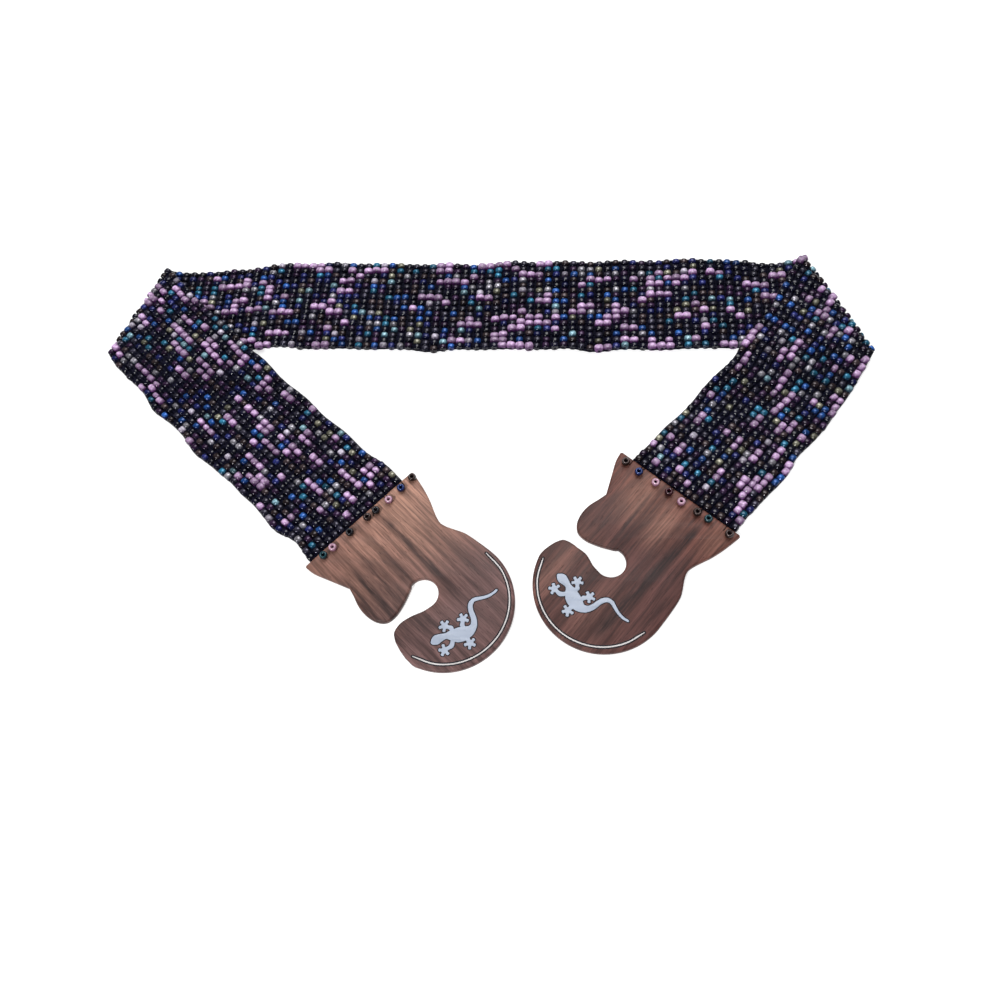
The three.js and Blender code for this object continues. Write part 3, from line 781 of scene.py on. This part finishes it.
def slabFromLoops(name, loops, bottom, top, bevel, material, grow=0.0):
    # closed slab with rounded edges between two heights, mm
    curve = bpy.data.curves.new(name, "CURVE")
    curve.dimensions = "2D"
    curve.fill_mode = "BOTH"
    curve.extrude = (top - bottom) / 2 - bevel
    curve.bevel_depth = bevel
    curve.bevel_resolution = 3
    curve.offset = grow
    for loop in loops:
        spline = curve.splines.new("POLY")
        spline.points.add(len(loop) - 1)
        for point, spot in zip(spline.points, loop):
            point.co = (spot.x, spot.y, 0, 1)
        spline.use_cyclic_u = True
    holder = bpy.data.objects.new(name, curve)
    scene.collection.objects.link(holder)
    mesh = bpy.data.meshes.new_from_object(holder.evaluated_get(bpy.context.evaluated_depsgraph_get()))
    bpy.data.objects.remove(holder)
    mesh.transform(Matrix.Translation((0, 0, (top + bottom) / 2)))
    mesh.transform(Matrix.Scale(mm, 4))
    bm = bmesh.new()
    bm.from_mesh(mesh)
    bmesh.ops.remove_doubles(bm, verts=bm.verts, dist=0.000002)
    bmesh.ops.recalc_face_normals(bm, faces=bm.faces)
    bm.to_mesh(mesh)
    bm.free()
    mesh.shade_smooth()
    mesh.set_sharp_from_angle(angle=math.radians(32))
    mesh.materials.clear()
    mesh.materials.append(material)
    piece = bpy.data.objects.new(name, mesh)
    scene.collection.objects.link(piece)
    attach(piece, "root")
    return piece


# hook plates: their own frame runs from the straight edge (x) and across it (y); mm and degrees
hookPlates = {
    "thickness": 3.5,
    "cadBevel": 0.5,
    "bevel": 1.0,
    "left": {"place": (-45.367, -37.463), "turn": -42.9},
    "right": {"place": (93.692, -23.112), "turn": 231.7},
}

# wood: its tone runs from near the straight edge to far from it, over the fade; on the left plate the paler
# tone near the straight edge is partly the wood's own tone and partly painted sheen
# streaks: across, lean, width, start, end, strength
# pale patches: along, across, reach, strength
woodLook = {
    "darkest": (0.03, 0.017, 0.017),
    "pale": (0.46, 0.25, 0.18),
    "left": {
        # paler near the straight edge: wood tone with painted sheen
        "near": (0.285, 0.144, 0.110),
        "far": (0.160, 0.087, 0.082),
        "fade": (18, 64),
        "shift": (0.013, 0.004, 0.0),
        "streaks": (
            (7.5, 0.0, 2.6, 2, 62, 0.8),
            (-17.0, -0.02, 2.4, 12, 56, 0.85),
            (-3.0, 0.0, 4.0, 14, 46, 0.6),
            (-11.0, 0.0, 7.5, 10, 66, 0.6),
            (-20.0, 0.0, 11.0, -8, 58, 0.32),
            (-25.0, 0.03, 6.0, 12, 66, 0.6),
            (20.0, 0.03, 4.0, 30, 66, 0.45),
            (-9.0, 0.02, 1.5, 40, 84, 0.55),
            (2.5, 0.0, 1.2, 4, 46, 0.5),
            (13.5, 0.02, 1.3, 12, 70, 0.45),
            (-24.0, 0.02, 2.4, 10, 60, 0.5),
        ),
        "pale": ((8, 17, 24, 0.85), (24, -19, 9, 0.1), (12, -6, 10, 0.3)),
    },
    "right": {
        "near": (0.165, 0.063, 0.048),
        "far": (0.105, 0.044, 0.039),
        "fade": (6, 34),
        "shift": (0.21, -0.031, 0.0),
        "streaks": (
            (15.8, -0.06, 3.2, 2, 78, 0.95),
            (-9.0, 0.03, 1.5, 3, 44, 0.75),
            (-19.5, 0.0, 1.4, 12, 46, 0.6),
            (6.0, 0.02, 1.3, 10, 60, 0.45),
            (24.0, 0.0, 2.4, 36, 66, 0.5),
            (-3.5, 0.0, 1.2, 14, 80, 0.45),
            (20.5, 0.02, 1.2, 6, 50, 0.45),
        ),
        "pale": (
            (11, -12, 13, 0.35), (16, 3, 11, 0.3), (8, 25, 9, 0.2),
            (60, -22, 24, 0.16), (66, 6, 16, 0.1),
        ),
    },
}


def makeWood(side):
    look = woodLook[side]
    plate = hookPlates[side]
    darkest, palest = (*woodLook["darkest"], 1), (*woodLook["pale"], 1)
    material, tree, shader = newMaterial("satinWood_" + side, IOR=1.48)
    mapping = addNode(tree, "ShaderNodeMapping", vector_type="TEXTURE")
    mapping.inputs["Location"].default_value = (*[value * mm for value in plate["place"]], 0)
    mapping.inputs["Rotation"].default_value = (0, 0, math.radians(plate["turn"]))
    tree.links.new(addNode(tree, "ShaderNodeTexCoord").outputs["Object"], mapping.inputs["Vector"])
    place = mapping.outputs[0]
    parts = addNode(tree, "ShaderNodeSeparateXYZ")
    tree.links.new(place, parts.inputs[0])
    grain = useGroup(tree, woodGrain, Place=place, Shift=look["shift"])
    fade = remap(tree, parts.outputs[0], look["fade"][0] * mm, look["fade"][1] * mm)
    colour = mixColours(tree, fade, (*look["near"], 1), (*look["far"], 1))
    for along, across, reach, strength in look["pale"]:
        dx = doMath(tree, "MULTIPLY", doMath(tree, "SUBTRACT", parts.outputs[0], along * mm), 0.55)
        dy = doMath(tree, "SUBTRACT", parts.outputs[1], across * mm)
        away = doMath(tree, "SQRT", doMath(
            tree, "ADD", doMath(tree, "MULTIPLY", dx, dx), doMath(tree, "MULTIPLY", dy, dy)))
        mask = remap(tree, away, 0.0, reach * mm, strength, 0.0)
        mask = doMath(tree, "MULTIPLY", mask, remap(tree, grain["Bands"], 0.3, 0.6, 0.3, 1.0))
        colour = mixColours(tree, mask, colour, palest)
    bandTone = remap(tree, grain["Bands"], 0.3, 0.72, 0.66, 1.3)
    colour = mixColours(tree, 1.0, colour, bandTone, "MULTIPLY")
    colour = mixColours(tree, doMath(tree, "MULTIPLY", grain["Veins"], 0.4), colour, darkest)
    for across, lean, width, start, end, strength in look["streaks"]:
        mask = useGroup(tree, grainStreak, Place=place, Across=across * mm, Lean=lean, Width=width * mm,
                        Start=start * mm, End=end * mm)["Mask"]
        colour = mixColours(tree, doMath(tree, "MULTIPLY", mask, strength), colour, darkest)
    fibreTone = remap(tree, grain["Fibres"], 0.3, 0.7, 0.7, 1.26)
    colour = mixColours(tree, 1.0, colour, fibreTone, "MULTIPLY")
    colour = mixColours(tree, doMath(tree, "MULTIPLY", grain["Pores"], 0.6), colour, darkest)
    tree.links.new(colour, shader.inputs["Base Color"])
    tree.links.new(remap(tree, grain["Fibres"], 0.3, 0.7, 0.42, 0.55), shader.inputs["Roughness"])
    shader.inputs["Specular IOR Level"].default_value = 0.25
    bump = addNode(tree, "ShaderNodeBump")
    bump.inputs["Strength"].default_value = 0.5
    bump.inputs["Distance"].default_value = 0.00008
    tree.links.new(grain["Height"], bump.inputs["Height"])
    tree.links.new(bump.outputs[0], shader.inputs["Normal"])
    return material


def buildPlate(side):
    data = hookPlates[side]
    place = Matrix.Translation((*data["place"], 0)) @ Matrix.Rotation(math.radians(data["turn"]), 4, "Z")
    loops = outlineLoops("buckle_" + side, 0)
    outlines = [smoothLoop(loops[0], 3)]
    for hole in loops[1:]:
        centre = sum(hole, Vector((0, 0))) / len(hole)
        radius = sum((spot - centre).length for spot in hole) / len(hole)
        outlines.append([centre + radius * Vector((math.cos(turn), math.sin(turn)))
                         for turn in np.arange(20) * math.pi / 10])
    piece = slabFromLoops("wood_plate_" + side, outlines, 0, hookPlates["thickness"], hookPlates["bevel"],
                          makeWood(side), grow=hookPlates["cadBevel"] - hookPlates["bevel"])
    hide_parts("buckle_" + side)
    return place


platePlaces = {side: buildPlate(side) for side in ("left", "right")}
print("wooden plates made")

# inlays stand a hair proud of the wood, in a dark groove, partly a dark joint and partly painted shade
# around the inlay; mm
inlayLook = {
    "depth": 0.9,
    "proud": 0.05,
    "edge": 0.12,
    "groove": 0.36,
    "trim": {"inlay": 0.0, "rim_line": 0.14},
    "cornerDegrees": {"inlay": 80, "rim_line": 40},  # sharper corners stay
    "geckoLow": (0.38, 0.43, 0.53),
    "geckoHigh": (0.47, 0.53, 0.65),
    "lineLow": (0.60, 0.57, 0.56),
    "lineHigh": (0.78, 0.75, 0.74),
    "grooveColour": (0.008, 0.006, 0.009),
}


def makeInlayMaterial(name, low, high, gloss):
    material, tree, shader = newMaterial(name, IOR=1.5)
    rub = useGroup(tree, fineRub, Scale=140.0, Gloss=gloss)
    tree.links.new(rampColours(tree, rub["Cloud"], ((0.3, low), (0.7, high))), shader.inputs["Base Color"])
    tree.links.new(rub["Roughness"], shader.inputs["Roughness"])
    bump = addNode(tree, "ShaderNodeBump")
    bump.inputs["Strength"].default_value = 0.15
    bump.inputs["Distance"].default_value = 0.00003
    tree.links.new(rub["Height"], bump.inputs["Height"])
    tree.links.new(bump.outputs[0], shader.inputs["Normal"])
    return material


def makeGrooveMaterial():
    # a dark joint with painted shade around each inlay
    material, tree, shader = newMaterial("darkJointAndShade")
    rub = useGroup(tree, fineRub, Scale=600.0, Gloss=0.7)
    dark = inlayLook["grooveColour"]
    paler = tuple(value * 2.2 for value in dark)
    colour = rampColours(tree, rub["Cloud"], ((0.3, dark), (0.75, paler)))
    tree.links.new(colour, shader.inputs["Base Color"])
    tree.links.new(rub["Roughness"], shader.inputs["Roughness"])
    return material


def layGroove(name, loop, outward, inward, material):
    # flat dark ring along an inlay's outline, partly a dark joint and partly painted shade, tucked into the
    # wood at its outer side
    path = np.array([tuple(spot) for spot in loop])
    along = unit(np.roll(path, -1, 0) - np.roll(path, 1, 0))
    area = np.sum(path[:, 0] * np.roll(path[:, 1], -1) - np.roll(path[:, 0], -1) * path[:, 1])
    side = np.stack([along[:, 1], -along[:, 0]], 1) * math.copysign(1, area)
    top = hookPlates["thickness"]
    rails = [(path - side * inward, top + 0.015), (path + side * outward, top + 0.015),
             (path + side * (outward + 0.05), top - 0.1)]
    points = np.concatenate([np.column_stack([rail, np.full(len(rail), height)]) for rail, height in rails])
    count = len(path)
    here, ahead = np.arange(count), (np.arange(count) + 1) % count
    quads = np.concatenate([
        np.stack([here, here + count, ahead + count, ahead], 1) + rail * count
        for rail in range(len(rails) - 1)])
    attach(meshFromArrays(name, points, quads, material), "root")


def buildInlays():
    look = inlayLook
    top = hookPlates["thickness"]
    geckoMaterial = makeInlayMaterial("paleStone", look["geckoLow"], look["geckoHigh"], 0.32)
    lineMaterial = makeInlayMaterial("whiteLine", look["lineLow"], look["lineHigh"], 0.3)
    grooveMaterial = makeGrooveMaterial()
    for side in platePlaces:
        for node, material, slot in (
            ("gecko_" + side, geckoMaterial, "inlay"), ("rim_line_" + side, lineMaterial, "rim_line")):
            trim = look["trim"][slot]
            loops = [smoothLoop(loop, 3, look["cornerDegrees"][slot]) for loop in outlineLoops(node, top)]
            piece = slabFromLoops(
                node + "_inlay", loops, top - look["depth"], top + look["proud"], look["edge"],
                material, grow=-look["edge"] - trim)
            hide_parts(node)
            layGroove(
                node + "_groove", loops[0], look["groove"], look["groove"] * 0.5 + trim, grooveMaterial)


buildInlays()
print("inlays made")

# stop beads lie flat over the drilled holes, mm; glass as top colour, side colour, metal share, where the
# paler top colour is painted light and the darker side colour painted shade
stopBeads = {
    "sides": 20,
    "corners": 10,
    "diameter": 3.7,
    "height": 2.5,
    "bore": 1.0,
    "holeThread": 0.42,
    "holeThreadHeights": (0.4, 2.0, 3.6, 4.6, 5.3),
    "edgeThread": 0.16,
    "edgeThreadInset": 1.4,  # from the band's edge
    "bead_brown": ((0.05, 0.03, 0.028), (0.014, 0.008, 0.008), 0.3),
    "bead_blue": ((0.012, 0.035, 0.16), (0.004, 0.008, 0.05), 0.2),
    "bead_pink": ((0.58, 0.36, 0.46), (0.33, 0.15, 0.24), 0.0),
    "bead_black": ((0.014, 0.013, 0.018), (0.005, 0.005, 0.007), 0.1),
    "bead_teal": ((0.015, 0.06, 0.075), (0.004, 0.016, 0.024), 0.2),
    "bead_garnet": ((0.05, 0.008, 0.016), (0.02, 0.003, 0.007), 0.1),
}


def makeStopBeadMaterial(slot):
    top, shadedSideColour, metal = stopBeads[slot]
    material, tree, shader = newMaterial(slot + "_glass", IOR=1.52, Metallic=metal)
    # painted light and shade: paler where the glass faces up, darker on its sides
    normal = addNode(tree, "ShaderNodeNewGeometry").outputs["Normal"]
    facing = addNode(tree, "ShaderNodeSeparateXYZ")
    tree.links.new(normal, facing.inputs[0])
    share = remap(tree, facing.outputs[2], 0.1, 1.0)
    colour = mixColours(tree, share, (*shadedSideColour, 1), (*top, 1))
    mottle = useGroup(tree, glassMottle, Colour=colour, Amount=0.2, Gloss=0.15)
    tree.links.new(mottle["Colour"], shader.inputs["Base Color"])
    tree.links.new(mottle["Roughness"], shader.inputs["Roughness"])
    return material


def buildStopBeads():
    data = stopBeads
    slots = {part["node"]: part["material_slot"] for part in frame["record"]["subparts"]}
    materials = {}
    turn = np.arange(data["sides"]) * 2 * math.pi / data["sides"]
    wall = (data["diameter"] - data["bore"]) / 4
    section = np.arange(data["corners"]) * 2 * math.pi / data["corners"]
    reach = data["bore"] / 2 + wall + wall * np.cos(section)
    height = data["height"] / 2 * np.sin(section)
    reachAcross = bandCourse["width"] / 2 - data["edgeThreadInset"]
    holePaths, edgePaths = [], []
    for node in sorted(slots):
        if not node.startswith("stop_bead"):
            continue
        low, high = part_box(node)
        centre = np.array((low + high) / 2) / mm
        ring = np.stack([
            np.outer(reach, np.cos(turn)), np.outer(reach, np.sin(turn)),
            np.outer(height, np.ones(len(turn)))], 2)
        points = ring.reshape(-1, 3) + centre
        count = data["sides"]
        i, j = np.meshgrid(np.arange(data["corners"]), np.arange(count), indexing="ij")
        nextI, nextJ = (i + 1) % data["corners"], (j + 1) % count
        quads = np.stack([i * count + j, i * count + nextJ, nextI * count + nextJ, nextI * count + j], 2)
        quads = quads.reshape(-1, 4)
        slot = slots[node]
        materials.setdefault(slot, makeStopBeadMaterial(slot))
        piece = meshFromArrays(node + "_glass", points, quads, materials[slot])
        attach(piece, "root")
        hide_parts(node)
        # its thread comes up through the hole into the bead
        path = np.array([(*centre[:2], up) for up in data["holeThreadHeights"]])
        holePaths.append((path, np.tile((0.0, 1.0, 0.0), (len(path), 1))))
        # and two strands run from the band's end over the plate's edge to it
        side = "left" if "left" in node else "right"
        plate = platePlaces[side]
        local = plate.inverted() @ Vector((*centre[:2], 0))
        for slip in (-0.5, 0.6):
            knots = (
                # along, across, up
                (-1.2, slip * 1.6, 1.9), (-0.35, slip * 1.4, 3.2), (0.5, slip * 1.2, 3.82),
                (local.x * 0.6, slip * 0.7, 3.78), (local.x - 0.2, slip * 0.3, 3.8))
            path = []
            for along, across, up in knots:
                across = float(np.clip(local.y + across, -reachAcross, reachAcross))
                path.append(tuple(plate @ Vector((along, across, up))))
            edgePaths.append((np.array(path), np.tile((0.0, 0.0, 1.0), (len(path), 1))))
    for name, paths, radius in (
        ("hole_threads", holePaths, data["holeThread"]), ("edge_threads", edgePaths, data["edgeThread"])):
        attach(layTubes(name, paths, radius, 6, threadMaterial), "root")
    print("stop beads made:", len(holePaths))


buildStopBeads()

# pale lit floor, a large soft light from behind and a small one from the front left; m and W
studio = {
    "floorColour": (0.6, 0.6, 0.6),
    "floorGlow": 0.72,
    "floorReach": 4.0,
    "floorLevel": -0.0002,
    "worldColour": (0.85, 0.92, 1.0),
    "worldStrength": 0.06,
    "lights": (
        # place, what it looks at, radius, watts
        ((0.05, 0.5, 0.85), (0.0, 0.0, 0.0), 0.4, 7.2),
        ((-0.28, -0.55, 0.75), (0.0, 0.0, 0.0), 0.07, 5.6),
    ),
}


def buildStudio():
    material, tree, shader = newMaterial("paleFloor", Roughness=0.8, Base_Color=(*studio["floorColour"], 1))
    shader.inputs["Specular IOR Level"].default_value = 0.2
    shader.inputs["Emission Color"].default_value = (1, 1, 1, 1)
    shader.inputs["Emission Strength"].default_value = studio["floorGlow"]
    mesh = bpy.data.meshes.new("floor")
    reach, level = studio["floorReach"], studio["floorLevel"]
    corners = ((-reach, -reach), (reach, -reach), (reach, reach), (-reach, reach))
    mesh.from_pydata([(*corner, level) for corner in corners], [], [(0, 1, 2, 3)])
    mesh.materials.append(material)
    floor = bpy.data.objects.new("floor", mesh)
    scene.collection.objects.link(floor)
    for i, (place, target, radius, power) in enumerate(studio["lights"]):
        data = bpy.data.lights.new("softLight%d" % i, "AREA")
        data.shape = "DISK"
        data.size = 2 * radius
        data.energy = power
        light = bpy.data.objects.new("softLight%d" % i, data)
        light.location = place
        light.rotation_euler = (Vector(target) - Vector(place)).to_track_quat("-Z", "Y").to_euler()
        scene.collection.objects.link(light)
    world = bpy.data.worlds.new("studioWorld")
    world.use_nodes = True
    world.node_tree.nodes["Background"].inputs[0].default_value = (*studio["worldColour"], 1)
    world.node_tree.nodes["Background"].inputs[1].default_value = studio["worldStrength"]
    scene.world = world
    scene.view_settings.view_transform = "Standard"


buildStudio()
print("studio set")
